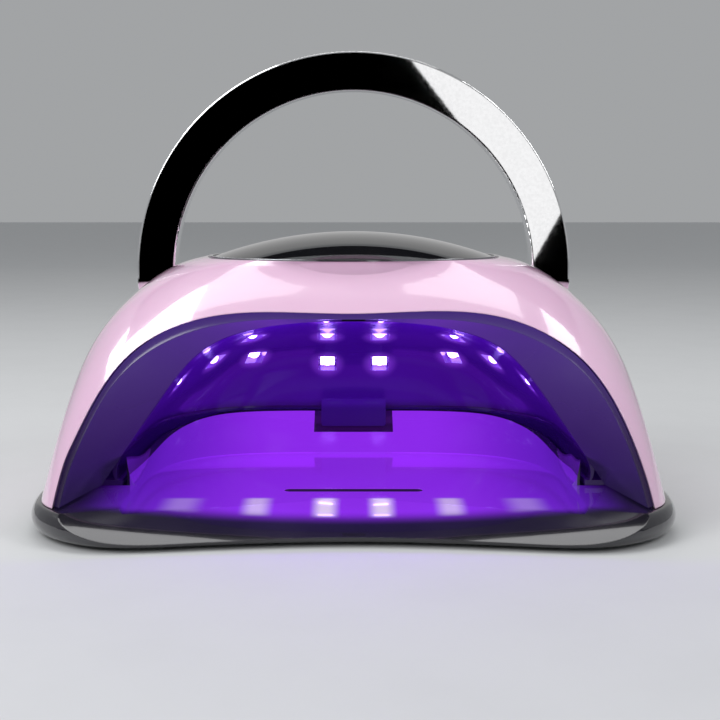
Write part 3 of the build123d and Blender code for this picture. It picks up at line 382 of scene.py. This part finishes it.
def paint_nodes():
    """Give every CAD node its material."""
    pink = pink_gloss()
    gloss = black_gloss()
    satin = black_satin()
    steel = metal("turned_steel", STEEL, 0.28, 0.12, (1, 1, 1))
    board = circuit_board()
    lens = lens_gloss()
    chip = moulded("chip_resin", BLACK_SOFT, BLACK, 0.5, 0.06, 0.15, 0.0002).material
    black_wire = ribbed_wire("black_wire", RUBBER)
    red_wire = ribbed_wire("red_wire", WIRE_RED)
    mirror = metal("mirror_plate", MIRROR, 0.022, 0.004, (1, 1, 1), 0.0005)
    brass = metal("turned_brass", BRASS, 0.25, 0.1, (1, 6, 6))
    rubber = moulded("foot_rubber", RUBBER, BLACK_SOFT, 0.62, 0.08, 0.3, 0.0005).material
    white = moulded("white_plastic", WHITE_PLASTIC, tuple(0.9 * c for c in WHITE_PLASTIC[:3]) + (1,),
                    0.4, 0.05, 0.08, 0.0003).material
    looks = {
        "upper_shell": pink, "base_tray": tray_painted_glow(), "base_bottom_plate": satin, "rubber_feet": rubber,
        "front_bezel": bezel_painted_glow(), "inner_liner": liner_painted_glow(), "display_lens": lens,
        "display_trim_ring": metal("trim_plate", TRIM, 0.12, 0.02, (1, 1, 1)),
        "sensor_window": lens, "handle_band": mirror, "handle_pivot_bushes": brass,
        "led_boards": metal("board_aluminium", ALUMINIUM, 0.3, 0.08, (1, 8, 1)),
        "led_emitters": led_light(), "led_wiring": red_wire, "led_feed_cable": red_wire,
        "power_cable": black_wire, "sensor_cable": black_wire, "control_board": board, "sensor_board": board,
        "control_board_parts": chip, "buzzer": chip, "sensor_eyes": chip, "display_light_box": white,
        "display_screen": lens, "display_carrier": satin, "power_inlet": gloss,
    }
    for name, node in nodes.items():
        material = looks.get(name, steel)
        node.data.materials.clear()
        node.data.materials.append(material)


# ---------------------------------------------------------------- studio

def flat_card(name, corners, material):
    """One flat card."""
    mesh = bpy.data.meshes.new(name)
    mesh.from_pydata(corners, [], [tuple(range(len(corners)))])
    mesh.materials.append(material)
    card = bpy.data.objects.new(name, mesh)
    bpy.context.scene.collection.objects.link(card)
    return card


def level_card(name, low, high, z, material):
    """Level rectangle between two plan corners."""
    corners = [(low[0], low[1], z), (high[0], low[1], z), (high[0], high[1], z), (low[0], high[1], z)]
    return flat_card(name, corners, material)


def glow_material(name, colour, strength):
    """Plain light-giving or black card material."""
    paint = Paint(name)
    paint.set(Base_Color=CARD_BLACK, Roughness=1.0, Emission_Color=colour, Emission_Strength=strength,
              Specular_IOR_Level=0.0)
    return paint.material


def reflection_only(card):
    """Keep a card out of every ray but mirror reflections."""
    card.visible_camera = False
    card.visible_diffuse = False
    card.visible_shadow = False
    card.visible_transmission = False


def reflection_cards():
    """Cards seen only in reflections: the handle's dark and bright ones, the lip's, the lens's and the shell's."""
    far = CARD_FAR
    half = CARD_HALF_W
    dark = flat_card("dark_card", [(-half, far, -0.05), (half, far, -0.05), (half, far, 0.62), (-half, far, 0.62)],
                     glow_material("card_black", CARD_BLACK, 0.0))
    near = far + CARD_STEP
    spots = [(0.065, 0.389), (0.44, 0.44), (0.373, 0.145), (0.283, -0.019), (0.213, 0.203)]
    bright = flat_card("bright_card", [(x, near, z) for x, z in spots],
                       glow_material("card_white", CARD_WHITE, 1.0))
    black = glow_material("card_black_up", CARD_BLACK, 0.0)
    right_edge = [(half, LIP_EDGE[0][1]), *LIP_EDGE]
    left_edge = [(-x, y) for x, y in right_edge]
    outline = [(-half, far), *left_edge, (0, LIP_MIDDLE), *reversed(right_edge), (half, far)]
    low = flat_card("low_card", [(x, y, CARD_LOW) for x, y in outline], black)
    over = level_card("over_card", (-0.9, 0.25), (0.9, 0.9), 0.95, black)
    left = level_card("left_card", (-1.25, -0.35), (-0.35, 0.55), 1.0,
                      glow_material("card_left", CARD_WHITE, 7.0))
    right = level_card("right_card", (0.55, -0.05), (0.85, 0.35), 1.0,
                       glow_material("card_right", CARD_WHITE, 5.0))
    back = flat_card("back_card", [(-1.2, 1.7, 0.1), (1.2, 1.7, 0.1), (1.2, 1.7, 1.5), (-1.2, 1.7, 1.5)],
                     glow_material("card_back", CARD_WHITE, 0.5))
    for card in (dark, bright, low, over, left, right, back):
        reflection_only(card)


def softbox(name, at, aim, size, power, colour=(1, 1, 1)):
    """Rectangular area light looking at a point."""
    light = bpy.data.lights.new(name, "AREA")
    light.shape = "RECTANGLE"
    light.size, light.size_y = size
    light.energy = power
    light.color = colour
    lamp = bpy.data.objects.new(name, light)
    lamp.location = at
    lamp.rotation_euler = (Vector(aim) - Vector(at)).to_track_quat("-Z", "Y").to_euler()
    bpy.context.scene.collection.objects.link(lamp)
    return lamp


def chamber_lights():
    """Violet light from the LEDs inside the hand opening."""
    for i, x in enumerate((-0.035, 0.0, 0.035)):
        light = bpy.data.lights.new(f"chamber_{i}", "POINT")
        light.energy = 0.08
        light.color = LAMP_VIOLET
        light.shadow_soft_size = 0.012
        lamp = bpy.data.objects.new(f"chamber_{i}", light)
        lamp.location = (x, -0.02, 0.058)
        lamp.visible_glossy = False
        bpy.context.scene.collection.objects.link(lamp)


def studio():
    """Pale floor, pale world, soft boxes and the reflection cards."""
    floor_look = moulded("pale_floor", FLOOR_PALE, tuple(0.97 * c for c in FLOOR_PALE[:3]) + (1,),
                         0.6, 0.03, 0.0, 0.0)
    level_card("floor", (-FLOOR_HALF, -FLOOR_HALF), (FLOOR_HALF, FLOOR_HALF), 0, floor_look.material)
    world = bpy.data.worlds.new("studio")
    bpy.context.scene.world = world
    world.use_nodes = True
    back = world.node_tree.nodes["Background"]
    back.inputs["Color"].default_value = (0.86, 0.88, 0.90, 1)
    back.inputs["Strength"].default_value = 0.42
    softbox("left_box", (-0.75, -0.45, 0.75), (-0.03, 0, 0.08), (0.55, 0.8), 6.0)
    softbox("right_box", (0.85, -0.25, 0.7), (0.05, 0, 0.08), (0.25, 0.6), 2.6)
    softbox("top_box", (0, 0.25, 1.1), (0, 0, 0.1), (0.9, 0.5), 3.4)
    softbox("front_fill", (0.1, -1.3, 0.9), (0, 0, 0.06), (0.8, 0.5), 3.0).visible_glossy = False
    reflection_cards()
    chamber_lights()
    bpy.context.scene.view_settings.view_transform = "Standard"


def camera():
    """Camera just above the lamp's crown, close in front of the hand opening."""
    data = bpy.data.cameras.new("camera")
    data.lens = LENS_MM
    data.sensor_width = 36.0
    data.shift_x = SHIFT_X
    data.clip_start = 0.01
    eye = bpy.data.objects.new("camera", data)
    eye.location = CAMERA_AT
    eye.rotation_euler = (radians(90 - CAMERA_DROP), 0, 0)
    bpy.context.scene.collection.objects.link(eye)
    bpy.context.scene.camera = eye


paint_nodes()
studio()
camera()
